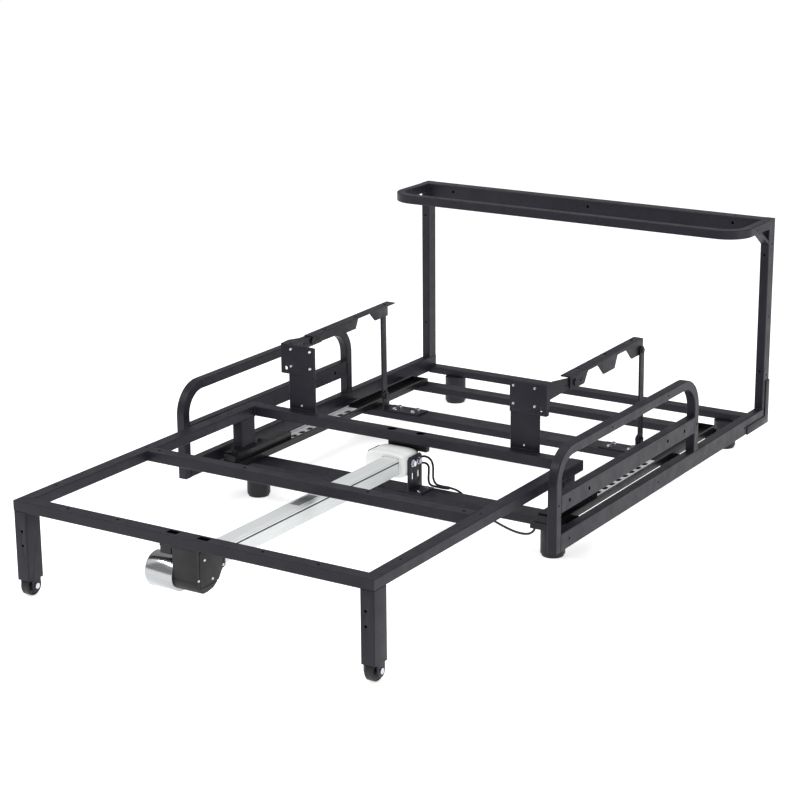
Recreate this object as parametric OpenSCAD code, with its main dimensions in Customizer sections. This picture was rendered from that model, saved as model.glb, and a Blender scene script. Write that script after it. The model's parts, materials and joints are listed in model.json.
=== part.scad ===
// Powered pull-out sofa bed base: a steel seat frame on telescopic slides,
// pushed out of a fixed tubular base by a motor and lead screw.
// Distances named "y" inside the modules run from the front of the seat frame, pulled out.

/* [Overall] */
// Width over the arm tubes
base_w = 1120; // [1100:2:1160]
// Length with the seat pulled out
open_len = 1954; // [1954:1:1960]
// Height of the back posts
back_h = 669; // [560:1:720]
// Width of the seat frame
seat_w = 1000; // [996:1:1004]

/* [Tubes] */
// Size of the square arm and shelf tube
arm_tube = 25; // [20:1:25]
// Wall thickness of every tube
tube_wall = 2; // [1.2:0.1:2.5]
// Outside corner radius of every tube
corner_r = 2.5; // [1:0.5:4]
// Width of the seat frame bars
seat_bar_w = 34.5; // [30:0.5:35]
// Height of the seat frame bars
seat_bar_h = 27; // [20:1:27]
// Height of the cross tubes
cross_h = 20; // [15:1:20]
// Outside radius of the front bend of the arm
arm_front_r = 84; // [60:1:95]
// Outside radius of the rear bend of the arm
arm_rear_r = 90; // [60:1:100]

/* [Drive] */
// Radius of the lead screw
screw_r = 6; // [5:0.5:7]
// Radius of the motor can
motor_r = 42; // [35:1:43]
// Length of the motor can
motor_len = 80; // [60:1:100]
// Radial gap of every pin and shaft
running_gap = 0.06; // [0.02:0.01:0.1]

/* [Feet and wheels] */
// Radius of the feet
foot_r = 31; // [20:1:35]
// Radius of the front wheels
wheel_r = 25; // [20:1:25]
// Thickness of the front wheels
wheel_t = 24; // [16:1:26]

/* [Cable] */
// Diameter of the motor cable
cable_d = 5.8; // [4:0.5:8]

/* [Hidden] */
steel = [0.13, 0.13, 0.15];
zinc = [0.78, 0.79, 0.8];
alloy = [0.82, 0.84, 0.85];
plastic = [0.92, 0.92, 0.9];
dark = [0.06, 0.06, 0.07];
fine = 48;
eps = 0.05;

arm_x = base_w / 2 - arm_tube / 2;
arm_in = base_w / 2 - arm_tube;
arm_front = 694.5;
arm_rear = 1485;
arm_top = 337;
rail_lo = 83.5;
rail_hi = 128.5;
rail_end = 1953;
rail_mid = (rail_lo + rail_hi) / 2;
mid_rail_z = 202.5;
mid_rail_h = 45;

post_d = 39;
post_front = rail_end - post_d;
post_y = rail_end - post_d / 2;
top_tube_h = 45;
shelf_front = 1722;
shelf_z = back_h - arm_tube / 2;
shelf_r = 75;

cross_top = 100;
cross_z = cross_top - cross_h / 2;

seat_half = seat_w / 2;
seat_top = 240;
seat_z = seat_top - seat_bar_h / 2;
seat_under = seat_top - seat_bar_h;
seat_len = 943.5;
seat_bar_x = seat_half - seat_bar_w / 2;
seat_bar_in = seat_half - seat_bar_w;
mid_bar_y = 471.75;
rear_bar_y = seat_len - seat_bar_w / 2;

leg_w = 36;
leg_d = 50;
leg_x = seat_half - leg_w / 2;
leg_bottom = 42;
cheek_t = 3;
axle_r = 4;

slide_x = 467;
slide_w = 60;
slide_h = 17;
slide_from = 790;
slide_to = 1745;
slide_t = 2.5;
slide_lip = 7;
middle_w = 54;
middle_h = 11;
middle_floor = 4;
middle_lip = 7;
middle_from = 800;
middle_to = 1395;
inner_from = 793;
inner_to = 1052;
inner_lo = 109.5;
inner_hi = 133;

support_w = 30;
support_from = 850;
support_to = 910;
support_plate_t = 3;

hinge_post_x = 335;
hinge_post_w = 82;
hinge_post_d = 8;
hinge_post_front = 943.5;
hinge_post_top = 412;
arm_plate_x = 393.5;
plate_t = 4;
web_x = 398;
link_x = 402.5;
link_t = 5;
link_half = 12;
panel_pivot = [1082, 390];
link_foot = [1455, 140];
link_head = [1452, 387];
pin_r = 5;
panel_top = 411;
panel_tilt = 0.9;
flange_w = 28;
flange_t = 3.5;
panel_from = 1056;
panel_to = 1466;

drive_z = 166;
act_w = 48;
act_lo = 147;
act_hi = 190;
act_from = 110;
act_to = 940;
act_wall = 3;
block_from = 850;
block_to = 929.5;
block_right = 42;
block_left = -78;
bracket_t = 3;
motor_y = 42;
motor_z = 135;
gear_left = -39;
gear_right = 30;

// ---- shared helpers ----

module placed() {
    translate([0, -open_len / 2, 0]) children();
}

module left_side() {
    mirror([1, 0, 0]) children();
}

module both_sides() {
    children();
    left_side() children();
}

module rounded_profile(w, h) {
    square([w - 2 * corner_r, h], center = true);
    square([w, h - 2 * corner_r], center = true);
    for (sx = [-1, 1], sy = [-1, 1])
        translate([sx * (w / 2 - corner_r), sy * (h / 2 - corner_r)]) circle(r = corner_r, $fn = 24);
}

module tube_profile(w, h) {
    difference() {
        rounded_profile(w, h);
        square([w - 2 * tube_wall, h - 2 * tube_wall], center = true);
    }
}

// Rectangular tube along +Z; a blind tube is closed at its far end.
module tube(length, w, h, blind = false) {
    cavity = blind ? length - tube_wall : length + 1;
    difference() {
        linear_extrude(length) rounded_profile(w, h);
        translate([0, 0, -1])
            linear_extrude(cavity + 1) square([w - 2 * tube_wall, h - 2 * tube_wall], center = true);
    }
}

module tube_x(x0, x1, y, z, w, h) {
    translate([x0, y, z]) rotate([90, 0, 90]) tube(x1 - x0, w, h);
}

module tube_y(x, y0, y1, z, w, h, blind = false) {
    translate([x, y0, z]) rotate([-90, 0, 0]) tube(y1 - y0, w, h, blind);
}

module tube_z(x, y, z0, z1, w, d, blind = false) {
    translate([x, y, z0]) tube(z1 - z0, w, d, blind);
}

// Quarter bend of the square arm tube, turning from +X to +Y.
module bend(outside_r) {
    rotate_extrude(angle = 90, $fn = 96)
        translate([outside_r - arm_tube / 2, 0]) tube_profile(arm_tube, arm_tube);
}

module drill_x(x, y, z, r) {
    translate([x, y, z]) rotate([0, 90, 0]) cylinder(r = r, h = 8, center = true, $fn = 24);
}

module drill_y(x, y, z, r) {
    translate([x, y, z]) rotate([90, 0, 0]) cylinder(r = r, h = 8, center = true, $fn = 24);
}

module drill_z(x, y, z, r) {
    translate([x, y, z]) cylinder(r = r, h = 8, center = true, $fn = 24);
}

// Slot through a plate, along the local X axis.
module slot(length, r, depth) {
    cube([length - 2 * r, 2 * r, depth], center = true);
    for (s = [-1, 1])
        translate([s * (length / 2 - r), 0, 0]) cylinder(r = r, h = depth, center = true, $fn = 24);
}

// Flat plate lying in the Y-Z plane, from x to x + t.
module side_plate(x, t) {
    translate([x, 0, 0]) rotate([90, 0, 90]) linear_extrude(t) children();
}

module rod_x(x0, x1, y, z, r) {
    translate([x0, y, z]) rotate([0, 90, 0]) cylinder(r = r, h = x1 - x0, $fn = fine);
}

module rod_y(x, y0, y1, z, r) {
    translate([x, y0, z]) rotate([-90, 0, 0]) cylinder(r = r, h = y1 - y0, $fn = fine);
}

// Hexagon bolt head on its washer, rising along +Z from the local origin.
module hex_head(r) {
    cylinder(r = r * 1.25, h = 1.5, $fn = fine);
    cylinder(r = r, h = r, $fn = 6);
}

module button_head(r, h) {
    cylinder(r1 = r, r2 = r * 0.7, h = h, $fn = fine);
}

// ---- fixed base ----

module side_rail() {
    placed() difference() {
        tube_y(arm_x, arm_front + arm_tube, rail_end, rail_mid, arm_tube, rail_hi - rail_lo, true);
        for (y = [761, 1248, 1794])
            drill_x(base_w / 2, y, rail_mid, 3);
    }
}

module side_rail_left() {
    color(steel) left_side() side_rail();
}

module side_rail_right() {
    color(steel) side_rail();
}

module arm_loop() {
    front_y = arm_front + arm_tube / 2;
    rear_y = arm_rear - arm_tube / 2;
    top_z = arm_top - arm_tube / 2;
    placed() difference() {
        union() {
            tube_z(arm_x, front_y, rail_lo, arm_top - arm_front_r, arm_tube, arm_tube);
            translate([arm_x, arm_front + arm_front_r, arm_top - arm_front_r])
                rotate([90, 0, 90]) rotate([0, 0, 90]) bend(arm_front_r);
            tube_y(arm_x, arm_front + arm_front_r, arm_rear - arm_rear_r, top_z, arm_tube, arm_tube);
            translate([arm_x, arm_rear - arm_rear_r, arm_top - arm_rear_r])
                rotate([90, 0, 90]) bend(arm_rear_r);
            tube_z(arm_x, rear_y, rail_hi, arm_top - arm_rear_r, arm_tube, arm_tube);
        }
        for (y = [980, 1293])
            drill_x(base_w / 2, y, top_z, 3);
        for (y = [front_y, rear_y])
            drill_x(base_w / 2, y, mid_rail_z, 3);
    }
}

module arm_loop_left() {
    color(steel) left_side() arm_loop();
}

module arm_loop_right() {
    color(steel) arm_loop();
}

module mid_rail() {
    placed() difference() {
        tube_y(arm_x, arm_front + arm_tube, arm_rear - arm_tube, mid_rail_z, arm_tube, mid_rail_h);
        for (x = [base_w / 2, base_w / 2 - arm_tube], y = [761, 861, 1297, 1397])
            drill_x(x, y, mid_rail_z, 5);
    }
}

module mid_rail_left() {
    color(steel) left_side() mid_rail();
}

module mid_rail_right() {
    color(steel) mid_rail();
}

module cross_tube(y0, y1) {
    color(steel) placed() tube_x(-arm_in, arm_in, (y0 + y1) / 2, cross_z, y1 - y0, cross_h);
}

module cross_tube_front() {
    cross_tube(862, 930);
}

module cross_tube_middle() {
    cross_tube(1440, 1508);
}

module cross_tube_rear() {
    cross_tube(1724, 1770);
}

module cross_tube_back() {
    cross_tube(post_front, rail_end);
}

module back_post() {
    placed() difference() {
        tube_z(arm_x, post_y, rail_hi, back_h, arm_tube, post_d, true);
        for (z = [225, 394, 599])
            drill_x(base_w / 2, post_y, z, 3);
        for (z = [238, 571])
            drill_y(arm_x, post_front, z, 3);
    }
}

module back_post_left() {
    color(steel) left_side() back_post();
}

module back_post_right() {
    color(steel) back_post();
}

module back_top_tube() {
    color(steel) placed() difference() {
        tube_x(-arm_in, arm_in, post_y, back_h - top_tube_h / 2, post_d, top_tube_h);
        for (x = [-450, 0, 450]) {
            drill_y(x, post_front, back_h - 18, 4);
            drill_z(x, post_y, back_h, 4);
        }
    }
}

module shelf_loop() {
    front_y = shelf_front + arm_tube / 2;
    color(steel) placed() difference() {
        union() {
            tube_x(shelf_r - base_w / 2, base_w / 2 - shelf_r, front_y, shelf_z, arm_tube, arm_tube);
            both_sides() translate([base_w / 2 - shelf_r, shelf_front + shelf_r, shelf_z])
                rotate([0, 0, -90]) bend(shelf_r);
            both_sides() tube_y(arm_x, shelf_front + shelf_r, post_front, shelf_z, arm_tube, arm_tube);
        }
        for (x = [-400, 0, 400])
            drill_z(x, front_y, back_h, 3);
        both_sides() drill_x(base_w / 2, 1831, shelf_z, 3);
    }
}

module shelf_gussets() {
    low = back_h - arm_tube;
    color(steel) both_sides() placed() side_plate(arm_in + 1, arm_tube - 2)
        polygon([[1853, low], [1862, low], [post_front, low - 33], [post_front, low - 43]]);
}

module corner_brackets() {
    color(steel) both_sides() placed() side_plate(base_w / 2, 2.5)
        polygon([[1808, 82], [open_len, 82], [open_len, 209], [1930, 209], [1930, 106], [1808, 106]]);
}

module feet() {
    color(dark) both_sides() placed() for (y = [892, 1921]) translate([446, y, 0]) {
        cylinder(r = foot_r - 3, h = 6, $fn = 64);
        translate([0, 0, 6]) cylinder(r = foot_r, h = cross_top - cross_h - 6, $fn = 64);
    }
}

// Channel along +Y with inward lips, its floor centred on x and starting at z.
module lipped_channel(x, y0, y1, z, w, h, t, lip) {
    translate([x, y1, z]) rotate([90, 0, 0]) linear_extrude(y1 - y0) difference() {
        translate([-w / 2, 0]) square([w, h]);
        translate([t - w / 2, t]) square([w - 2 * t, h - 2 * t]);
        translate([lip - w / 2, t]) square([w - 2 * lip, h]);
    }
}

module slide_outer() {
    placed() {
        difference() {
            lipped_channel(slide_x, slide_from, slide_to, cross_top, slide_w, slide_h, slide_t, slide_lip);
            for (i = [0 : 20])
                drill_z(slide_x - slide_w / 2 + 3.5, slide_from + 27 + 45 * i, cross_top + slide_h, 1.8);
        }
        for (y = [slide_from, slide_to - slide_t])
            translate([slide_x - slide_w / 2, y, cross_top]) cube([slide_w, slide_t, slide_h]);
    }
}

module slide_outer_left() {
    color(dark) left_side() slide_outer();
}

module slide_outer_right() {
    color(dark) slide_outer();
}

module slide_middle() {
    floor_z = cross_top + slide_t + 0.5;
    placed() difference() {
        translate([slide_x, middle_to, floor_z]) rotate([90, 0, 0])
            linear_extrude(middle_to - middle_from) difference() {
                translate([-middle_w / 2, 0]) square([middle_w, middle_h]);
                translate([2 - middle_w / 2, -1]) square([middle_w - 4, middle_floor + 1]);
                translate([2 - middle_w / 2, middle_floor + 2])
                    square([middle_w - 4, middle_h - middle_floor - 4]);
                translate([middle_lip - middle_w / 2, middle_floor + 2])
                    square([middle_w - 2 * middle_lip, middle_h]);
            }
        for (i = [0 : 14])
            translate([slide_x, 824 + 38 * i, floor_z + middle_floor + 1])
                rotate([0, 0, 90]) slot(24, 7.5, 6);
    }
}

module slide_middle_left() {
    color(zinc) left_side() slide_middle();
}

module slide_middle_right() {
    color(zinc) slide_middle();
}

module link_plate() {
    placed() {
        difference() {
            translate([285, 1444, cross_top]) cube([web_x + plate_t - 285, 54, plate_t]);
            for (x = [312, 372], y = [1457, 1486])
                drill_z(x, y, cross_top + plate_t, 4);
        }
        difference() {
            side_plate(web_x, plate_t) {
                translate([1440, cross_top + plate_t]) square([30, link_foot[1] - cross_top - plate_t]);
                translate(link_foot) circle(r = 15, $fn = fine);
            }
            rod_x(web_x - 1, web_x + plate_t + 1, link_foot[0], link_foot[1], pin_r);
        }
    }
}

module link_plates() {
    color(steel) both_sides() link_plate();
}

module base_bolts() {
    color(zinc) both_sides() placed() {
        for (x = [312, 372], y = [1457, 1486])
            translate([x, y, cross_top + plate_t]) hex_head(5.5);
    }
}

module link_pins() {
    y = link_foot[0];
    z = link_foot[1];
    color(zinc) both_sides() placed() {
        rod_x(web_x - 4, link_x + link_t + 4, y, z, pin_r);
        rod_x(web_x - 4, web_x, y, z, 8);
        rod_x(link_x + link_t + 0.4, link_x + link_t + 4, y, z, 8);
    }
}

// Both ends of the carriage block; the children stand at its right end.
module block_ends() {
    translate([block_right, 0, 0]) children();
    translate([block_left, 0, 0]) left_side() children();
}

module drive_brackets() {
    color(steel) placed() block_ends() difference() {
        union() {
            side_plate(0, bracket_t)
                polygon([[863, cross_top], [929, cross_top], [929, 184], [922, 191], [871, 191],
                    [863, 183]]);
            translate([0, 863, cross_top]) cube([42, 61, bracket_t]);
        }
        for (y = [885, 912])
            translate([bracket_t / 2, y, 138]) rotate([0, 90, 0]) slot(20, 3.5, 8);
    }
}

module carriage_bolts() {
    color(zinc) placed() block_ends() {
        for (y = [885, 912])
            translate([bracket_t, y, 172]) rotate([0, 90, 0]) hex_head(7.5);
        for (y = [873, 912])
            translate([28, y, cross_top + bracket_t]) hex_head(4.5);
    }
}

module carriage_block() {
    inside = act_w / 2 + 0.5;
    color(plastic) placed() difference() {
        translate([0, block_to, 0]) rotate([90, 0, 0]) linear_extrude(block_to - block_from)
            polygon([[block_left, 138], [block_right, 138], [block_right, 184], [36, 194], [22, 200],
                [-54, 200], [-70, 194], [block_left, 184]]);
        translate([-inside, block_from - 1, act_lo - 0.5])
            cube([2 * inside, block_to - block_from + 2, act_hi - act_lo + 1]);
    }
}

module drive_nut() {
    color(plastic) placed() difference() {
        translate([-14, 870, act_lo - 0.5]) cube([28, 36, 33.5]);
        rod_y(0, 869, 907, drive_z, screw_r + running_gap);
    }
}

module cable_clip() {
    color(dark) placed() translate([420, 822, 88]) cube([17, 20, 22]);
}

// ---- cable, swept along its route ----

route = [[32, 929.5, 172], [33, 934.7, 172.6], [36, 939, 173.4], [40.3, 942, 174.2], [45.5, 943, 174.8],
    [56, 943, 173], [64.5, 942.5, 167], [69.5, 941.5, 158], [71.5, 940.5, 146], [72, 939.5, 133],
    [72.8, 939, 122], [76.5, 938.8, 112.5], [83.5, 938.8, 106.5], [94, 939, 104.6], [108, 939, 104.4],
    [124, 939.2, 103.8], [140, 939.6, 101.5], [155, 940, 95.5], [169, 939, 85.5], [184, 934.5, 76],
    [203, 922, 71.5], [226, 906, 70], [252, 889, 69.5], [280, 873, 69], [306, 861, 67.5],
    [330, 853, 64.5], [355, 847.5, 61], [380, 843, 60], [402, 838.5, 63], [417, 834.5, 70.5],
    [425.5, 832.5, 80], [428, 832, 88]];
// A shorter lead from the same block, which joins the first behind it
short_route = [[32, 929.5, 156], [33, 934.7, 156.3], [36, 939, 156.7], [40.3, 942, 157], [45.5, 943, 157],
    [52.5, 942.4, 155.1], [57.6, 941, 150], [59.5, 939, 143], [60.5, 936.5, 131], [61.5, 934, 121],
    [63.6, 932.6, 111.8], [68.5, 931.3, 106], [76, 930.5, 104], [88, 930, 103.7], [100, 930, 103.6],
    [112, 930, 103.6]];
cable_sides = 10;
steps = 2;

function spline(a, b, c, d, t) = 0.5 * (2 * b + (c - a) * t + (2 * a - 5 * b + 4 * c - d) * t * t
    + (3 * b - a - 3 * c + d) * t * t * t);

function at(r, i) = r[max(0, min(len(r) - 1, i))];

function path(r) = concat([for (i = [0 : len(r) - 2], k = [0 : steps - 1])
    spline(at(r, i - 1), at(r, i), at(r, i + 1), at(r, i + 2), k / steps)], [at(r, len(r) - 1)]);

function unit(v) = v / norm(v);

// A lead starts square to the back of the block.
function tangents(p, last) = [for (i = [0 : len(p) - 1]) i == 0 ? [0, 1, 0]
    : i == len(p) - 1 ? last : unit(p[i + 1] - p[i - 1])];

function carried(n, t) = unit(n - (n * t) * t);

function normals(t, i, n) = i == len(t) ? []
    : let (m = carried(n, t[i])) concat([m], normals(t, i + 1, m));

module swept(r, way_in) {
    centre = path(r);
    ahead = tangents(centre, way_in);
    side = normals(ahead, 0, [0, 0, 1]);
    last = (len(centre) - 1) * cable_sides;
    rings = [for (i = [0 : len(centre) - 1], k = [0 : cable_sides - 1])
        centre[i] + cable_d / 2 * (cos(360 * k / cable_sides) * side[i]
            + sin(360 * k / cable_sides) * cross(ahead[i], side[i]))];
    walls = [for (i = [0 : len(centre) - 2], k = [0 : cable_sides - 1]) let (n = (k + 1) % cable_sides)
        [i * cable_sides + k, (i + 1) * cable_sides + k, (i + 1) * cable_sides + n, i * cable_sides + n]];
    first_end = [for (k = [0 : cable_sides - 1]) k];
    last_end = [for (k = [0 : cable_sides - 1]) last + cable_sides - 1 - k];
    polyhedron(points = rings, faces = concat(walls, [first_end, last_end]), convexity = 6);
}

module cable() {
    color(dark) placed() {
        swept(route, [0, 0, 1]);
        swept(short_route, [1, 0, 0]);
    }
}

// ---- seat frame ----

module seat_front_bar() {
    color(steel) placed() difference() {
        intersection() {
            tube_x(-seat_half, seat_half, seat_bar_w / 2, seat_z, seat_bar_w, seat_bar_h);
            translate([0, 0, seat_under - 1]) linear_extrude(seat_bar_h + 2)
                polygon([[-seat_half, 0], [seat_half, 0], [seat_bar_in, seat_bar_w],
                    [-seat_bar_in, seat_bar_w]]);
        }
        both_sides() translate([28, 8, seat_top - 4]) cube([30, 18, 8]);
        both_sides() for (x = [202, 348])
            drill_z(x, seat_bar_w / 2, seat_top, 4);
    }
}

module seat_side_bar() {
    placed() difference() {
        intersection() {
            tube_y(seat_bar_x, 0, seat_len, seat_z, seat_bar_w, seat_bar_h, true);
            translate([0, 0, seat_under - 1]) linear_extrude(seat_bar_h + 2)
                polygon([[seat_bar_in, seat_bar_w], [seat_half, 0], [seat_half, seat_len],
                    [seat_bar_in, seat_len]]);
        }
        for (y = [132, 475, 816])
            drill_z(seat_bar_x, y, seat_top, 3);
    }
}

module seat_side_bar_left() {
    color(steel) left_side() seat_side_bar();
}

module seat_side_bar_right() {
    color(steel) seat_side_bar();
}

module seat_mid_bar() {
    color(steel) placed() difference() {
        tube_x(-seat_bar_in, seat_bar_in, mid_bar_y, seat_z, seat_bar_w, seat_bar_h);
        both_sides() for (x = [178, 440])
            drill_z(x, mid_bar_y, seat_top, 4);
    }
}

module seat_rear_bar() {
    color(steel) placed() difference() {
        tube_x(-seat_bar_in, seat_bar_in, rear_bar_y, seat_z, seat_bar_w, seat_bar_h);
        both_sides() drill_z(43, rear_bar_y, seat_top, 12);
        both_sides() drill_z(215, rear_bar_y, seat_top, 3);
    }
}

module front_leg() {
    placed() difference() {
        union() {
            tube_z(leg_x, leg_d / 2, leg_bottom, seat_under, leg_w, leg_d);
            for (x = [leg_x - leg_w / 2, leg_x + leg_w / 2 - cheek_t])
                side_plate(x, cheek_t) {
                    translate([leg_d / 2 - 15, wheel_r]) square([30, leg_bottom - wheel_r + 8]);
                    translate([leg_d / 2, wheel_r]) circle(r = 15, $fn = fine);
                }
        }
        rod_x(leg_x - leg_w, leg_x + leg_w, leg_d / 2, wheel_r, axle_r);
        for (z = [130, 165])
            drill_y(leg_x - 4, 0, z, 3.5);
    }
}

module front_leg_left() {
    color(steel) left_side() front_leg();
}

module front_leg_right() {
    color(steel) front_leg();
}

module caster_axles() {
    out = leg_x + leg_w / 2;
    color(zinc) both_sides() placed() {
        rod_x(leg_x - leg_w / 2 - 3, out + 3, leg_d / 2, wheel_r, axle_r);
        rod_x(out, out + 3, leg_d / 2, wheel_r, 7);
        rod_x(leg_x - leg_w / 2 - 3, leg_x - leg_w / 2, leg_d / 2, wheel_r, 7);
    }
}

module rear_supports() {
    base = inner_hi;
    color(steel) both_sides() placed() {
        tube_z(seat_bar_x - 2, (support_from + support_to) / 2, base + support_plate_t, seat_under,
            support_w, support_to - support_from);
        difference() {
            translate([449, 808, base]) cube([44, 150, support_plate_t]);
            for (y = [826, 941])
                drill_z(475, y, base, 3.5);
        }
    }
}

module slide_inner() {
    h = inner_hi - inner_lo;
    half = middle_w / 2 - middle_lip - 2;
    placed() difference() {
        translate([slide_x, inner_to, inner_lo]) rotate([90, 0, 0]) linear_extrude(inner_to - inner_from) {
            translate([-half, 0]) square([2 * half, h]);
            translate([-half - 6, 0]) square([2 * half + 12, 2]);
        }
        translate([slide_x - half + 2, inner_from + 3, inner_lo + 2])
            cube([2 * half - 4, inner_to - inner_from, h - 4]);
    }
}

module slide_inner_left() {
    color(zinc) left_side() slide_inner();
}

module slide_inner_right() {
    color(zinc) slide_inner();
}

module hinge_post() {
    placed() tube_z(hinge_post_x, hinge_post_front + hinge_post_d / 2, seat_under, hinge_post_top,
        hinge_post_w, hinge_post_d, true);
}

module hinge_post_left() {
    color(steel) left_side() hinge_post();
}

module hinge_post_right() {
    color(steel) hinge_post();
}

module hinge_arm() {
    face = hinge_post_front;
    tab_lo = 335;
    y = panel_pivot[0];
    z = panel_pivot[1];
    placed() difference() {
        union() {
            translate([hinge_post_x - hinge_post_w / 2, face - 3, tab_lo])
                cube([arm_plate_x + plate_t - hinge_post_x + hinge_post_w / 2, 3, 415 - tab_lo]);
            side_plate(arm_plate_x, plate_t) {
                polygon([[face - 3, tab_lo], [face + 10, tab_lo], [face + 16, z - 16], [1010, z - 14],
                    [y, z - 14], [y, z + 14], [1058, z + 16], [975, 417], [face - 3, 415]]);
                translate([y, z]) circle(r = 14, $fn = fine);
            }
        }
        rod_x(arm_plate_x - 1, arm_plate_x + plate_t + 1, y, z, pin_r);
        drill_y(382, face - 1, 350, 5);
        drill_x(arm_plate_x + 2, 1040, 390, 3);
    }
}

module hinge_arm_left() {
    color(steel) left_side() hinge_arm();
}

module hinge_arm_right() {
    color(steel) hinge_arm();
}

module panel_pins() {
    y = panel_pivot[0];
    z = panel_pivot[1];
    edge = web_x + plate_t;
    color(zinc) both_sides() placed() {
        rod_x(arm_plate_x - 4, edge + 4, y, z, pin_r);
        rod_x(arm_plate_x - 4, arm_plate_x, y, z, 9);
        rod_x(edge + 0.4, edge + 4, y, z, 9);
        translate([arm_plate_x, 985, 399]) rotate([0, -90, 0]) button_head(8, 4);
        translate([arm_plate_x, 962, 383]) rotate([0, -90, 0]) button_head(5, 3);
        for (support_y = [826, 941])
            translate([475, support_y, inner_hi + support_plate_t]) button_head(7, 4);
    }
}

module seat_bolts() {
    color(zinc) both_sides() placed() {
        for (x = [-30, 30], z = [357, 403])
            translate([hinge_post_x + x, hinge_post_front - 3, z]) rotate([90, 0, 0]) button_head(4.2, 3);
        translate([hinge_post_x, hinge_post_front, 252]) rotate([90, 0, 0]) button_head(3.5, 2.5);
    }
}

module actuator_rail() {
    half = act_w / 2;
    h = act_hi - act_lo;
    color(alloy) placed() translate([0, act_to, act_lo]) rotate([90, 0, 0])
        linear_extrude(act_to - act_from) difference() {
            union() {
                translate([-half, 0]) square([act_w, h - 6]);
                translate([6 - half, 0]) square([act_w - 12, h]);
                for (s = [-1, 1])
                    translate([s * (half - 6), h - 6]) circle(r = 6, $fn = fine);
            }
            translate([act_wall - half, -1]) square([act_w - 2 * act_wall, h - act_wall + 1]);
            for (s = [-1, 1])
                translate([s * half, h - 10]) square([3, 4], center = true);
        }
}

module gearbox_housing() {
    color(dark) placed() difference() {
        union() {
            side_plate(gear_left, gear_right - gear_left) {
                polygon([[5, 140], [5, 207], [64, 207], [act_from, 202], [act_from, 146], [96, 140],
                    [84, 122], [62, 108], [40, 104], [12, 112]]);
                translate([31, 130]) circle(r = 26, $fn = 64);
            }
            translate([-72, 3, seat_under - 6]) cube([gear_right + 72, 30, 6]);
            translate([-72, 5, 190]) cube([30, 26, seat_under - 190]);
        }
        rod_y(0, 79, act_from + 1, drive_z, screw_r + running_gap);
        side_plate(gear_right - 1.2, 2) difference() {
            translate([12, 118]) square([90, 88]);
            translate([15, 121]) square([84, 82]);
        }
    }
}

module gearbox_screws() {
    spots = [[9, 140], [33, 182], [60, 130], [101, 150], [92, 192]];
    color(zinc) placed() for (p = spots)
        translate([gear_right, p[0], p[1]]) rotate([0, 90, 0]) button_head(3.2, 1.8);
}

module motor_can() {
    color(zinc) placed() translate([gear_left, motor_y, motor_z]) rotate([0, -90, 0])
        rotate_extrude($fn = 96)
            polygon([[0, 0], [motor_r, 0], [motor_r, motor_len - 6], [motor_r - 2, motor_len - 2],
                [motor_r - 6, motor_len], [10, motor_len], [10, motor_len + 4], [0, motor_len + 4]]);
}

module rail_hanger() {
    front = block_to + 1;
    back = act_to + 5;
    color(dark) placed() difference() {
        union() {
            translate([-58, front, act_hi]) cube([116, back - front, seat_under - act_hi]);
            translate([-act_w / 2, act_to, act_lo]) cube([act_w, back - act_to, act_hi - act_lo]);
        }
        rod_y(0, act_to - 1, back + 1, drive_z, screw_r + running_gap);
    }
}

// ---- other moving pieces ----

module caster_wheel() {
    r = wheel_r;
    t = wheel_t;
    placed() translate([leg_x - t / 2, leg_d / 2, wheel_r]) rotate([0, 90, 0])
        rotate_extrude($fn = 96)
            polygon([[axle_r + running_gap, 0], [9, 0], [11, 2], [r - 6, 2], [r - 3, 0], [r, 3],
                [r, t - 3], [r - 3, t], [r - 6, t - 2], [11, t - 2], [9, t], [axle_r + running_gap, t]]);
}

module caster_wheel_left() {
    color(dark) left_side() caster_wheel();
}

module caster_wheel_right() {
    color(dark) caster_wheel();
}

module link() {
    span = link_head - link_foot;
    lean = atan2(-span[0], span[1]);
    placed() {
        difference() {
            side_plate(link_x, link_t) {
                translate(link_foot) circle(r = link_half, $fn = 64);
                translate(link_head) circle(r = link_half, $fn = 64);
                translate(link_foot) rotate([0, 0, lean]) translate([-link_half, 0])
                    square([2 * link_half, norm(span)]);
            }
            rod_x(link_x - 1, link_x + link_t + 1, link_foot[0], link_foot[1], pin_r + running_gap);
        }
        rod_x(link_x + link_t, link_x + link_t + 3.5, link_head[0], link_head[1], 7.5);
    }
}

module link_left() {
    color(steel) left_side() link();
}

module link_right() {
    color(steel) link();
}

module panel_rail() {
    y = panel_pivot[0];
    z = panel_pivot[1];
    strip = panel_top - 9;
    low = 370;
    placed() translate([0, y, z]) rotate([panel_tilt, 0, 0]) translate([0, -y, -z]) difference() {
        union() {
            side_plate(web_x, plate_t)
                polygon([[panel_from, panel_top], [panel_from, z - 4], [1067, z - 16], [1132, z - 16],
                    [1152, strip], [1208, strip], [1240, low], [1301, low], [1317, strip],
                    [1369, strip], [1401, low], [panel_to, low], [panel_to, panel_top]]);
            translate([web_x + plate_t - flange_w, panel_from, panel_top - flange_t])
                cube([flange_w, panel_to - panel_from, flange_t]);
        }
        rod_x(web_x - 1, web_x + plate_t + 1, y, z, pin_r + running_gap);
        for (hole_y = [1126, 1278, 1428])
            translate([385, hole_y, panel_top]) rotate([0, 0, 90]) slot(14, 3.5, 10);
        drill_x(web_x, 1108, 388, 2.5);
    }
}

module panel_rail_left() {
    color(steel) left_side() panel_rail();
}

module panel_rail_right() {
    color(steel) panel_rail();
}

module lead_screw() {
    color(zinc) placed() rod_y(0, 82, act_to + 4, drive_z, screw_r);
}

// ---- drawing ----

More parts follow.
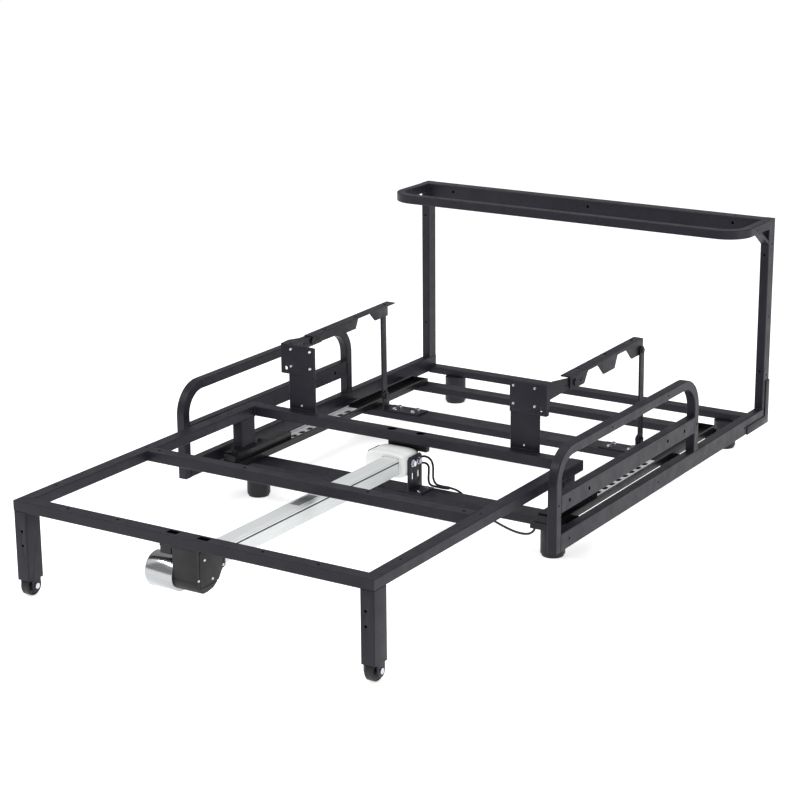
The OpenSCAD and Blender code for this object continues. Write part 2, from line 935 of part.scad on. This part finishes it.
side_rail_left();
side_rail_right();
arm_loop_left();
arm_loop_right();
mid_rail_left();
mid_rail_right();
cross_tube_front();
cross_tube_middle();
cross_tube_rear();
cross_tube_back();
back_post_left();
back_post_right();
back_top_tube();
shelf_loop();
shelf_gussets();
corner_brackets();
feet();
slide_outer_left();
slide_outer_right();
link_plates();
base_bolts();
link_pins();
drive_brackets();
carriage_bolts();
carriage_block();
drive_nut();
cable();
cable_clip();
slide_middle_left();
slide_middle_right();
seat_front_bar();
seat_side_bar_left();
seat_side_bar_right();
seat_mid_bar();
seat_rear_bar();
front_leg_left();
front_leg_right();
caster_axles();
rear_supports();
slide_inner_left();
slide_inner_right();
seat_bolts();
hinge_post_left();
hinge_post_right();
hinge_arm_left();
hinge_arm_right();
panel_pins();
actuator_rail();
gearbox_housing();
gearbox_screws();
motor_can();
rail_hanger();
caster_wheel_left();
caster_wheel_right();
link_left();
link_right();
panel_rail_left();
panel_rail_right();
lead_screw();
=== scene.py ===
import bpy
import bmesh
import json
import math
from mathutils import Matrix, Vector


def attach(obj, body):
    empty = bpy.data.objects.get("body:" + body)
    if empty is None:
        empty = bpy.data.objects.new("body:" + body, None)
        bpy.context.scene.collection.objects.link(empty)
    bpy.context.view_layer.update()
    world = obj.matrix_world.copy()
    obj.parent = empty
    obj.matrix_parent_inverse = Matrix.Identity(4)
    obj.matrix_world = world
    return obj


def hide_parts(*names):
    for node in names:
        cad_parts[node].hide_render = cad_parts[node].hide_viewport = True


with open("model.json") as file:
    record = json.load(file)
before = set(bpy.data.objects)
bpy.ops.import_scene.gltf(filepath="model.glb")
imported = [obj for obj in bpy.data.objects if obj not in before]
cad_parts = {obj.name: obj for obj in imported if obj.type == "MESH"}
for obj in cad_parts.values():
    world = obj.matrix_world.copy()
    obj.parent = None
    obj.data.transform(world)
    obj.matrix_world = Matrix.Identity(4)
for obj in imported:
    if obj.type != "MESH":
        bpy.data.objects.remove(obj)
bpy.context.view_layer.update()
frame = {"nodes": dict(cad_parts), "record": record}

# A powered pull-out sofa bed base, with the seat pulled out and the side rails up
NODES = frame["nodes"]

# Half the length over everything with the seat pulled out, in metres
HALF_LEN = 0.977

# Height of the lead screw, and the ends of the actuator rail around it, in millimetres
DRIVE_Z = 166
RAIL_FRONT, RAIL_REAR = 110, 940


def at(x, y, z):
    """A point in metres, from millimetres with y counted from the front of the seat frame."""
    return Vector((x / 1000, y / 1000 - HALF_LEN, z / 1000))


# ---------------------------------------------------------------- materials

class Shader:
    """A small builder for one procedural material."""

    def __init__(self, name, color, rough, metal=0.0):
        self.mat = bpy.data.materials.new(name)
        self.mat.use_nodes = True
        self.tree = self.mat.node_tree
        self.bsdf = self.tree.nodes["Principled BSDF"]
        self.bsdf.inputs["Base Color"].default_value = (*color, 1)
        self.bsdf.inputs["Roughness"].default_value = rough
        self.bsdf.inputs["Metallic"].default_value = metal
        self.color = color
        self.rough = rough
        coords = self.tree.nodes.new("ShaderNodeTexCoord")
        self.coords = coords.outputs["Object"]
        self.normal = None

    def link(self, a, b):
        self.tree.links.new(a, b)

    def stretched(self, scale):
        """Coordinates for a grain that is longer one way than the other."""
        node = self.tree.nodes.new("ShaderNodeMapping")
        node.inputs["Scale"].default_value = scale
        self.link(self.coords, node.inputs["Vector"])
        return node.outputs["Vector"]

    def noise(self, scale, detail=3.0, vector=None):
        node = self.tree.nodes.new("ShaderNodeTexNoise")
        node.inputs["Scale"].default_value = scale
        node.inputs["Detail"].default_value = detail
        self.link(vector or self.coords, node.inputs["Vector"])
        return node.outputs["Fac"]

    def ramp(self, value, stops):
        """Maps a value to colours given as (place, colour) stops."""
        node = self.tree.nodes.new("ShaderNodeValToRGB")
        element = node.color_ramp.elements
        while len(element) < len(stops):
            element.new(0.5)
        for e, (place, color) in zip(element, stops):
            e.position = place
            e.color = (*color, 1)
        self.link(value, node.inputs["Fac"])
        return node.outputs["Color"]

    def bump(self, value, strength, distance):
        """Adds one layer of relief on top of the layers before it."""
        node = self.tree.nodes.new("ShaderNodeBump")
        node.inputs["Strength"].default_value = strength
        node.inputs["Distance"].default_value = distance
        self.link(value, node.inputs["Height"])
        if self.normal is not None:
            self.link(self.normal, node.inputs["Normal"])
        self.normal = node.outputs["Normal"]
        self.link(self.normal, self.bsdf.inputs["Normal"])

    def mottle(self, scale, spread, vector=None):
        """The base colour drifts a little lighter and darker."""
        low = [max(0.0, c * (1 - spread)) for c in self.color]
        high = [min(1.0, c * (1 + spread)) for c in self.color]
        out = self.ramp(self.noise(scale, 4.0, vector), [(0.3, low), (0.7, high)])
        self.link(out, self.bsdf.inputs["Base Color"])

    def rough_drift(self, scale, spread, vector=None):
        """The roughness drifts up and down by spread."""
        low = [self.rough - spread] * 3
        high = [self.rough + spread] * 3
        out = self.ramp(self.noise(scale, 3.0, vector), [(0.35, low), (0.65, high)])
        self.link(out, self.bsdf.inputs["Roughness"])


def powder_coat(name, color, rough=0.42):
    s = Shader(name, color, rough)
    s.bsdf.inputs["Specular IOR Level"].default_value = 0.22
    s.mottle(scale=22.0, spread=0.16)
    s.rough_drift(scale=35.0, spread=0.05)
    s.bump(s.noise(scale=1500.0, detail=2.0), strength=0.12, distance=0.0004)
    s.bump(s.noise(scale=260.0, detail=1.0), strength=0.08, distance=0.0006)
    return s.mat


def plated(name, color, rough, grain=(1, 1, 1), metal=1.0):
    s = Shader(name, color, rough, metal)
    lay = s.stretched(grain)
    s.mottle(scale=60.0, spread=0.07, vector=lay)
    s.rough_drift(scale=90.0, spread=0.07, vector=lay)
    s.bump(s.noise(scale=900.0, detail=2.0, vector=lay), strength=0.06, distance=0.0003)
    return s.mat


def moulded(name, color, rough, texture=700.0):
    s = Shader(name, color, rough)
    s.bsdf.inputs["Specular IOR Level"].default_value = 0.3
    s.mottle(scale=14.0, spread=0.05)
    s.rough_drift(scale=40.0, spread=0.04)
    s.bump(s.noise(scale=texture, detail=2.0), strength=0.14, distance=0.0004)
    return s.mat


MATS = {
    "black_steel": powder_coat("powder_coat", (0.0125, 0.0123, 0.0190)),
    "weld": powder_coat("painted_weld", (0.012, 0.012, 0.016), rough=0.5),
    "zinc_hardware": plated("zinc_plate", (0.58, 0.61, 0.66), rough=0.26),
    "slide_zinc": plated("zinc_sheet", (0.80, 0.81, 0.83), rough=0.38, grain=(8, 0.4, 8),
                         metal=0.55),
    "slide_black": powder_coat("black_sheet", (0.008, 0.008, 0.010), rough=0.3),
    "foot_plastic": moulded("foot_plastic", (0.012, 0.0125, 0.015), rough=0.48),
    "white_plastic": moulded("white_plastic", (0.80, 0.81, 0.81), rough=0.42, texture=420.0),
    "black_plastic": moulded("black_plastic", (0.008, 0.008, 0.009), rough=0.5),
    "cable_sheath": moulded("cable_sheath", (0.007, 0.007, 0.008), rough=0.38, texture=300.0),
    "rail_alloy": plated("anodised_alloy", (0.70, 0.72, 0.72), rough=0.48, grain=(20, 0.3, 20),
                         metal=0.35),
    "motor_steel": plated("turned_steel", (0.40, 0.41, 0.42), rough=0.17, grain=(0.5, 14, 14)),
    "screw_steel": plated("rolled_steel", (0.45, 0.45, 0.47), rough=0.3),
    "wheel_plastic": moulded("wheel_plastic", (0.016, 0.016, 0.018), rough=0.45),
    "patch": moulded("blank_patch", (0.16, 0.17, 0.18), rough=0.55),
}

SLOT_OF = {p["node"]: p["material_slot"] for p in frame["record"]["subparts"]}
for name, obj in NODES.items():
    mat = MATS[SLOT_OF[name]]
    if obj.data.materials:
        for i in range(len(obj.data.materials)):
            obj.data.materials[i] = mat
    else:
        obj.data.materials.append(mat)


# ------------------------------------------------------------ mesh helpers

def turns(sides):
    """Cosine and sine of every step around a circle."""
    steps = [2 * math.pi * k / sides for k in range(sides)]
    return [(math.cos(a), math.sin(a)) for a in steps]


def tube_faces(rows, around, base=0):
    """The faces of a tube: quads between its rings of vertices, row after row."""
    faces = []
    for i in range(rows):
        near, far = base + i * around, base + (i + 1) * around
        for k in range(around):
            n = (k + 1) % around
            faces.append((near + k, near + n, far + n, far + k))
    return faces


def end_caps(rows, around, base=0):
    """The two faces that close the ends of the same tube."""
    return [tuple(base + k for k in reversed(range(around))),
            tuple(base + rows * around + k for k in range(around))]


def add(name, verts, faces, slot, body, smooth=True):
    """A drawn piece that rides on a body; verts are points in metres."""
    mesh = bpy.data.meshes.new(name)
    mesh.from_pydata([tuple(v) for v in verts], [], faces)
    mesh.update()
    bm = bmesh.new()
    bm.from_mesh(mesh)
    bmesh.ops.recalc_face_normals(bm, faces=bm.faces)
    bm.to_mesh(mesh)
    bm.free()
    if smooth:
        mesh.shade_smooth()
    obj = bpy.data.objects.new(name, mesh)
    bpy.context.scene.collection.objects.link(obj)
    mesh.materials.append(MATS[slot])
    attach(obj, body)
    return obj


# Edges sharper than the first are rounded; sharper than the second, they shade as creases
SHARP_EDGE = math.radians(35)
SHADED_EDGE = math.radians(30)


def softened(node, body, width, segments=3):
    """A copy of a CAD node with its sharp edges rounded over width mm, shown in its place."""
    source = NODES[node]
    bm = bmesh.new()
    bm.from_mesh(source.data)
    bm.transform(source.matrix_world)
    bmesh.ops.remove_doubles(bm, verts=bm.verts, dist=1e-6)
    bmesh.ops.dissolve_limit(bm, angle_limit=math.radians(1), verts=bm.verts, edges=bm.edges)
    sharp = [e for e in bm.edges if e.is_manifold and e.calc_face_angle(0) > SHARP_EDGE]
    bmesh.ops.bevel(bm, geom=sharp, offset=width / 1000, segments=segments, profile=0.5,
                    affect="EDGES", clamp_overlap=True)
    mesh = bpy.data.meshes.new(node + "_soft")
    bm.to_mesh(mesh)
    bm.free()
    mesh.shade_smooth()
    mesh.set_sharp_from_angle(angle=SHADED_EDGE)
    obj = bpy.data.objects.new(node + "_soft", mesh)
    bpy.context.scene.collection.objects.link(obj)
    mesh.materials.append(MATS[SLOT_OF[node]])
    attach(obj, body)
    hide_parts(node)


# Weld beads: radius and ripple length in millimetres, then shares of the radius
BEAD_R = 2.4
BEAD_RIPPLE = 3.2
BEAD_SWELL = 0.16
BEAD_END = 0.35
BEAD_TAPER = 6
ROWS_PER_RIPPLE = 4
BEAD_SIDES = 8


def weld_run(verts, faces, a, b, size):
    """Adds one rippled weld bead of radius size from a to b."""
    start, end = at(*a), at(*b)
    length = (end - start).length
    count = max(6, int(length * 1000 / BEAD_RIPPLE) * ROWS_PER_RIPPLE)
    ahead = (end - start).normalized()
    side = ahead.orthogonal().normalized()
    up = ahead.cross(side)
    base = len(verts)
    for i in range(count + 1):
        t = i / count
        swell = 1 + BEAD_SWELL * math.sin(2 * math.pi * t * count / ROWS_PER_RIPPLE)
        fade = min(1.0, BEAD_END + BEAD_TAPER * min(t, 1 - t))
        r = size / 1000 * swell * fade
        middle = start + ahead * length * t
        for c, s in turns(BEAD_SIDES):
            verts.append(middle + side * r * c + up * r * s)
    faces += tube_faces(count, BEAD_SIDES, base) + end_caps(count, BEAD_SIDES, base)


def welds(name, body, runs, size=BEAD_R):
    """One piece with every run of beads, each made on the left and on the right."""
    verts, faces = [], []
    for a, b in runs:
        for s in (-1, 1):
            weld_run(verts, faces, (s * a[0], a[1], a[2]), (s * b[0], b[1], b[2]), size)
    add(name, verts, faces, "weld", body)


# Runs along one axis, as two end points in millimetres

def along_x(x_from, x_to, y, z):
    return (x_from, y, z), (x_to, y, z)


def along_y(x, y_from, y_to, z):
    return (x, y_from, z), (x, y_to, z)


def along_z(x, y, z_from, z_to):
    return (x, y, z_from), (x, y, z_to)


# ------------------------------------------------------------------- welds

# Seat frame, in millimetres
BAR_IN = 465.5                              # inner faces of the side bars
BAR_LOW, BAR_HIGH = 216, 238                # ends of an upright bead on a bar
BAR_CROSSINGS = (34.5, 454.5, 489, 909)     # faces of the cross bars, front to rear
POST_SIDES = (293.6, 376.4)                 # both sides of a hinge post
POST_INSET = 3.4                            # where its top bead stops short of them
UNDER_BARS = 212.5                          # beads under the bars
LEG_BACK = 50                               # rear face of a front leg
SUPPORT_IN = 463                            # inner face of a rear support
SUPPORT_ENDS = (850, 910)                   # its front and rear faces
SUPPORT_FOOT = 136.5                        # bead around its foot

seat_runs = [along_z(BAR_IN, y, BAR_LOW, BAR_HIGH) for y in BAR_CROSSINGS]
seat_runs += [along_x(POST_SIDES[0] + POST_INSET, POST_SIDES[1] - POST_INSET, 942.8, 240.8)]
seat_runs += [along_z(x, 944.0, BAR_LOW, BAR_HIGH) for x in POST_SIDES]
seat_runs += [along_y(464, LEG_BACK - 14, LEG_BACK - 1, 213)]
seat_runs += [along_x(466, 498, LEG_BACK, UNDER_BARS)]
seat_runs += [along_x(465, 494, y, z) for z in (UNDER_BARS, SUPPORT_FOOT) for y in SUPPORT_ENDS]
seat_runs += [along_y(SUPPORT_IN, SUPPORT_ENDS[0] + 2, SUPPORT_ENDS[1] - 2, SUPPORT_FOOT)]
welds("seat_welds", "seat", seat_runs)

# Fixed base, in millimetres
ARM_IN = 535                                # inner faces of the arms and side rails
ARM_BEAD = (537, 558)                       # a bead across an arm tube
ARM_LEGS = (719.5, 1460)                    # faces of an arm's legs, inside its window
ARM_BACK = 1485                             # rear face of the rear leg
ARM_RAIL = (180, 225)                       # underside and top of an arm's middle rail
SIDE_RAIL_TOP = 128.5
CROSS_TOP = 100
CROSS_SPANS = [(862, 930), (1440, 1508), (1724, 1770), (1914, 1953)]
POST_FRONT = 1914                           # front faces of the back posts
GUSSET_BEAD = (541, 559)                    # a bead across a gusset strip
UPRIGHT = 41                                # length of an upright bead on an arm leg

# Cross tubes against the side rails
cross_faces = [y for span in CROSS_SPANS for y in span][:-1]
base_runs = [along_y(ARM_IN, a + 3, b - 3, CROSS_TOP) for a, b in CROSS_SPANS]
base_runs += [along_z(ARM_IN, y, 82, 98) for y in cross_faces]
# Arms and back posts on the side rails, and the middle rails in the arms
base_runs += [along_x(*ARM_BEAD, y, SIDE_RAIL_TOP) for y in (*ARM_LEGS, ARM_BACK, POST_FRONT)]
base_runs += [along_z(ARM_IN, y, z, z + UPRIGHT)
              for y, z in ((ARM_LEGS[0], 182), (ARM_LEGS[0], 85.5), (ARM_LEGS[1], 182))]
base_runs += [along_x(*ARM_BEAD, y, z) for y in ARM_LEGS for z in ARM_RAIL]
# Back top tube, shelf loop and gusset strips, then the link foot plates
base_runs += [along_z(ARM_IN, POST_FRONT, 627, 667), along_x(*ARM_BEAD, POST_FRONT, 644)]
base_runs += [along_x(*GUSSET_BEAD, 1853, 643.5), along_x(*GUSSET_BEAD, 1913.5, 601)]
base_runs += [along_y(397.5, 1446, 1468, 104.5)]
welds("base_welds", "base", base_runs)

# Mitre seams of the seat frame, ground almost flush
welds("mitre_seams", "seat", [((498, 2, 239.6), (466, 34, 239.6))], size=0.8)

# -------------------------------------------------------- plates and covers

# The last number is the width of the rounding, in millimetres
for side in ("left", "right"):
    softened("hinge_arm_" + side, "seat", 0.8)
    softened("panel_rail_" + side, "panel_" + side[0], 0.7)
    softened("link_" + side, "link_" + side[0], 0.8)
    softened("front_leg_" + side, "seat", 0.7)
softened("link_plates", "base", 0.8)
softened("drive_brackets", "base", 0.6)
softened("corner_brackets", "base", 0.7)
softened("gearbox_housing", "seat", 2.0)
softened("rail_hanger", "seat", 1.2)
softened("feet", "base", 3.0, segments=4)
softened("motor_can", "seat", 1.2)
softened("cable_clip", "base", 1.5)
softened("rear_supports", "seat", 0.6)


def carriage():
    """The moulded carriage: a domed shell with a rounded rear and raised bands."""
    rows, around = 40, 72
    # Place and half sizes in millimetres, and how square the section is (0 is a box)
    front, length = 850, 79.5
    middle_x, middle_z = -18, 169
    half_w, half_h = 60, 31
    square_floor, square_dome = 0.34, 0.46
    # Roundings and grooves, as shares of the section and of the length
    front_round, front_part = 0.07, 0.10
    rear_round, rear_part = 0.16, 0.20
    groove, groove_from, groove_to = 0.975, 0.36, 0.80
    # The rail's opening and the inside of the roof above it, in millimetres
    rail_half, rail_low, rail_high = 24.5, 146.5, 190.5
    roof_half, roof_from, roof_low = 26, 191, 192.5

    verts = []
    for i in range(rows + 1):
        t = i / rows
        front_dip = front_round * max(0.0, 1 - t / front_part) ** 2
        rear_dip = rear_round * max(0.0, (t - (1 - rear_part)) / rear_part) ** 2
        lip = 1 - front_dip - rear_dip
        band = groove if groove_from < t < groove_to and int(t * rows) % 3 == 0 else 1.0
        for c, s in turns(around):
            power = square_floor if s < 0 else square_dome
            x = half_w * math.copysign(abs(c) ** power, c) * (lip * band) + middle_x
            z = half_h * math.copysign(abs(s) ** power, s)
            z = z * (lip * band if s > 0 else 1.0) + middle_z
            # The roof stays clear of the rail that runs through the shell
            if z > roof_from and abs(x) < roof_half:
                z = max(z, roof_low)
            verts.append(at(x, front + length * t, z))

    # The square opening that the actuator rail passes through
    for y in (front, front + length):
        for c, s in turns(around):
            m = max(abs(c), abs(s))
            z = (rail_low + rail_high) / 2 + (rail_high - rail_low) / 2 * s / m
            verts.append(at(rail_half * c / m, y, z))

    faces = tube_faces(rows, around)
    last = rows * around
    front_hole = (rows + 1) * around
    rear_hole = front_hole + around
    for k in range(around):
        n = (k + 1) % around
        faces.append((k, front_hole + k, front_hole + n, n))
        faces.append((last + k, last + n, rear_hole + n, rear_hole + k))
        faces.append((front_hole + k, rear_hole + k, rear_hole + n, front_hole + n))
    obj = add("carriage_shell", verts, faces, "white_plastic", "base")
    obj.data.set_sharp_from_angle(angle=math.radians(38))
    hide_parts("carriage_block")


carriage()


def thread():
    """The lead screw with its rolled thread and a plain journal at each end."""
    pitch, crest, root = 8.0, 6.0, 5.0
    start, end = 82.0, 944.0
    thread_from, thread_to = 116, 934
    per_turn, rows_per_pitch = 16, 8
    rows = int((end - start) / pitch * rows_per_pitch)
    verts = []
    for i in range(rows + 1):
        y = start + (end - start) * i / rows
        for k, (c, s) in enumerate(turns(per_turn)):
            phase = (y / pitch - k / per_turn) % 1.0
            r = crest if phase < 0.45 else root if 0.55 < phase < 0.9 else (crest + root) / 2
            if y < thread_from or y > thread_to:
                r = crest
            verts.append(at(r * c, y, DRIVE_Z + r * s))
    faces = tube_faces(rows, per_turn) + end_caps(rows, per_turn)
    obj = add("threaded_screw", verts, faces, "screw_steel", "screw")
    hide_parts("lead_screw")


thread()


def ring(name, center, axis, r_out, r_in, thick, slot, body, sides=48):
    """A flat ring or disc; axis is the way it rises from its centre."""
    verts, faces = [], []
    axis = Vector(axis)
    side = axis.orthogonal().normalized()
    up = axis.cross(side)
    for r, h in ((r_in, 0), (r_out, 0), (r_out, thick), (r_in, thick)):
        for c, s in turns(sides):
            out = (side * c + up * s) * r / 1000
            verts.append(at(*center) + out + axis * h / 1000)
    for row in range(4):
        other = (row + 1) % 4
        for k in range(sides):
            n = (k + 1) % sides
            faces.append((row * sides + k, row * sides + n,
                          other * sides + n, other * sides + k))
    return add(name, verts, faces, slot, body, smooth=False)


def box(name, low, high, slot, body):
    """A plain block between two opposite corners, in millimetres."""
    (x0, y0, z0), (x1, y1, z1) = low, high
    verts = [at(x, y, z) for z in (z0, z1) for x, y in ((x0, y0), (x1, y0), (x1, y1), (x0, y1))]
    faces = [(3, 2, 1, 0), (4, 5, 6, 7), (0, 1, 5, 4), (1, 2, 6, 5), (2, 3, 7, 6), (3, 0, 4, 7)]
    add(name, verts, faces, slot, body, smooth=False)


# Boss and end vents of the motor can; the vents are flat black discs of painted shade, not openings
MOTOR_END = -119
MOTOR_Y, MOTOR_Z = 42, 135
VENT_CIRCLE = 26
ring("motor_boss", (MOTOR_END, MOTOR_Y, MOTOR_Z), (-1, 0, 0), r_out=16, r_in=10.2, thick=1.6,
     slot="zinc_hardware", body="seat")
# Painted shade: a black disc on the end face where each vent opening is
for k, (c, s) in enumerate(turns(6)):
    vent = (MOTOR_END - 0.1, MOTOR_Y + VENT_CIRCLE * c, MOTOR_Z + VENT_CIRCLE * s)
    ring("motor_vent_%d" % k, vent, (-1, 0, 0), r_out=4.0, r_in=0.3, thick=0.4,
         slot="black_plastic", body="seat", sides=16)

# Leads: the routes of part.scad, in metres, with y counted from the front of the seat frame
LEAD_D = 0.0058
LONG_ROUTE = [
    (0.0320, 0.9295, 0.1720), (0.0330, 0.9347, 0.1726), (0.0360, 0.9390, 0.1734),
    (0.0403, 0.9420, 0.1742), (0.0455, 0.9430, 0.1748), (0.0560, 0.9430, 0.1730),
    (0.0645, 0.9425, 0.1670), (0.0695, 0.9415, 0.1580), (0.0715, 0.9405, 0.1460),
    (0.0720, 0.9395, 0.1330), (0.0728, 0.9390, 0.1220), (0.0765, 0.9388, 0.1125),
    (0.0835, 0.9388, 0.1065), (0.0940, 0.9390, 0.1046), (0.1080, 0.9390, 0.1044),
    (0.1240, 0.9392, 0.1038), (0.1400, 0.9396, 0.1015), (0.1550, 0.9400, 0.0955),
    (0.1690, 0.9390, 0.0855), (0.1840, 0.9345, 0.0760), (0.2030, 0.9220, 0.0715),
    (0.2260, 0.9060, 0.0700), (0.2520, 0.8890, 0.0695), (0.2800, 0.8730, 0.0690),
    (0.3060, 0.8610, 0.0675), (0.3300, 0.8530, 0.0645), (0.3550, 0.8475, 0.0610),
    (0.3800, 0.8430, 0.0600), (0.4020, 0.8385, 0.0630), (0.4170, 0.8345, 0.0705),
    (0.4255, 0.8325, 0.0800), (0.4280, 0.8320, 0.0880),
]
SHORT_ROUTE = [
    (0.0320, 0.9295, 0.1560), (0.0330, 0.9347, 0.1563), (0.0360, 0.9390, 0.1567),
    (0.0403, 0.9420, 0.1570), (0.0455, 0.9430, 0.1570), (0.0525, 0.9424, 0.1551),
    (0.0576, 0.9410, 0.1500), (0.0595, 0.9390, 0.1430), (0.0605, 0.9365, 0.1310),
    (0.0615, 0.9340, 0.1210), (0.0636, 0.9326, 0.1118), (0.0685, 0.9313, 0.1060),
    (0.0760, 0.9305, 0.1040), (0.0880, 0.9300, 0.1037), (0.1000, 0.9300, 0.1036),
    (0.1120, 0.9300, 0.1036),
]


def spline(route, steps):
    """Points of one smooth curve through the route."""
    points = []
    for i in range(len(route) - 1):
        a, b, c, d = (Vector(route[max(0, min(len(route) - 1, i + k))]) for k in (-1, 0, 1, 2))
        for k in range(steps):
            t = k / steps
            points.append(0.5 * (2 * b + (c - a) * t + (2 * a - 5 * b + 4 * c - d) * t * t
                                 + (3 * b - a - 3 * c + d) * t ** 3))
    points.append(Vector(route[-1]))
    return [Vector((p.x, p.y - HALF_LEN, p.z)) for p in points]


def lead(name, route, last, sides=20):
    """A round lead along its route, which starts along +Y and ends along last."""
    path = spline(route, 6)
    verts = []
    side = Vector((0, 0, 1))
    for i, p in enumerate(path):
        if i == 0:
            ahead = Vector((0, 1, 0))
        elif i == len(path) - 1:
            ahead = Vector(last)
        else:
            ahead = (path[i + 1] - path[i - 1]).normalized()
        side = (side - ahead * side.dot(ahead)).normalized()
        other = ahead.cross(side)
        for c, s in turns(sides):
            verts.append(p + (side * c + other * s) * LEAD_D / 2)
    rows = len(path) - 1
    faces = tube_faces(rows, sides) + end_caps(rows, sides)
    obj = add(name, verts, faces, "cable_sheath", "base")
    obj.data.set_sharp_from_angle(angle=math.radians(50))
    return obj, path


# Glands in the rear face of the carriage, where the leads come out
for name, z in (("upper", 172), ("lower", 156)):
    ring("cable_gland_" + name, (32, 929.6, z), (0, 1, 0), r_out=5.2, r_in=3.0,
                        thick=4.5, slot="black_plastic", body="base", sides=24)
long_lead, long_path = lead("long_lead", LONG_ROUTE, (0, 0, 1))
short_lead, short_path = lead("short_lead", SHORT_ROUTE, (1, 0, 0))
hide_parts("cable")

# Black strips lying in the side grooves of the actuator rail, as painted shade in the grooves
GROOVE_X = 23.0
STRIP_LOW, STRIP_HIGH = 178.3, 181.7
# Each strip is a thin black box that paints the shade inside its groove
for side, x in (("left", -GROOVE_X), ("right", GROOVE_X)):
    box("painted_groove_shade_" + side, (x - 0.5, RAIL_FRONT + 2, STRIP_LOW),
        (x + 0.5, RAIL_REAR - 2, STRIP_HIGH), "black_plastic", "seat")


def splice_sleeve():
    """The sleeve where the short lead joins the long one."""
    rows, around = 12, 24
    start, length = 103, 21
    middle_y, middle_z = 934.4, 104.5
    half_w, half_h = 8.7, 4.2
    cut, span, blunt = 0.12, 0.76, 0.3
    verts = []
    for i in range(rows + 1):
        t = i / rows
        swell = math.sin(math.pi * (cut + span * t)) ** blunt
        for c, s in turns(around):
            verts.append(at(start + length * t, middle_y + half_w * swell * c,
                            middle_z + half_h * swell * s))
    faces = tube_faces(rows, around) + end_caps(rows, around)
    add("splice_sleeve", verts, faces, "cable_sheath", "base")


splice_sleeve()

# A blank grey patch on top of the actuator rail
box("rail_patch", (-13, 425, 189.9), (13, 505, 190.35), "patch", "seat")

# --------------------------------------------------------- floor and light

FLOOR_HALF = 30
FLOOR_GLOW = 0.62
# A pale floor that glows a little, so that it reads as white paper
floor_corners = [(x * FLOOR_HALF, y * FLOOR_HALF, 0)
                 for x, y in ((-1, -1), (1, -1), (1, 1), (-1, 1))]
floor_mesh = bpy.data.meshes.new("floor")
floor_mesh.from_pydata(floor_corners, [], [(0, 1, 2, 3)])
floor = bpy.data.objects.new("floor", floor_mesh)
bpy.context.scene.collection.objects.link(floor)
pale = Shader("pale_floor", (0.90, 0.90, 0.90), 0.9)
pale.bsdf.inputs["Specular IOR Level"].default_value = 0.0
pale.bsdf.inputs["Emission Color"].default_value = (1, 1, 1, 1)
pale.bsdf.inputs["Emission Strength"].default_value = FLOOR_GLOW
floor_mesh.materials.append(pale.mat)


def area_light(name, place, aim, size, power):
    """A rectangular light at place, in metres, turned towards aim; power in watts."""
    data = bpy.data.lights.new(name, "AREA")
    data.shape = "RECTANGLE"
    data.size, data.size_y = size
    data.energy = power
    obj = bpy.data.objects.new(name, data)
    bpy.context.scene.collection.objects.link(obj)
    obj.location = place
    obj.rotation_euler = (Vector(aim) - Vector(place)).to_track_quat("-Z", "Y").to_euler()


area_light("top_soft", (0.3, 0.4, 3.6), aim=(0, 0, 0), size=(4.0, 4.0), power=70)
area_light("right_soft", (4.6, 0.4, 1.3), aim=(0, 0.2, 0.3), size=(1.6, 3.6), power=75)
area_light("edge_strip", (-1.9, -2.6, 2.9), aim=(0, -0.6, 0.25), size=(3.2, 0.35), power=60)
area_light("left_soft", (-3.6, -1.6, 1.8), aim=(0, 0, 0.2), size=(2.0, 2.0), power=10)

WORLD_LIGHT = 0.42
world = bpy.data.worlds.new("studio")
bpy.context.scene.world = world
world.use_nodes = True
back = world.node_tree.nodes["Background"]
back.inputs["Color"].default_value = (1.0, 1.0, 1.0, 1)
back.inputs["Strength"].default_value = WORLD_LIGHT
bpy.context.scene.view_settings.view_transform = "Standard"

# ------------------------------------------------------------------ camera

CAMERA_PLACE = (2.8083, -4.5165, 1.8752)
CAMERA_LENS = 97.23
yaw, pitch, roll = math.radians(-32.33), math.radians(16.40), math.radians(-0.46)
ahead = Vector((math.sin(yaw) * math.cos(pitch), math.cos(yaw) * math.cos(pitch), -math.sin(pitch)))
right = ahead.cross(Vector((0, 0, 1))).normalized()
above = right.cross(ahead)
right_rolled = right * math.cos(roll) + above * math.sin(roll)
above_rolled = above * math.cos(roll) - right * math.sin(roll)
camera_data = bpy.data.cameras.new("camera")
camera_data.lens = CAMERA_LENS
camera_data.sensor_width = 36
camera = bpy.data.objects.new("camera", camera_data)
bpy.context.scene.collection.objects.link(camera)
turn = Matrix((right_rolled, above_rolled, -ahead)).transposed()
camera.matrix_world = Matrix.Translation(CAMERA_PLACE) @ turn.to_4x4()
bpy.context.scene.camera = camera
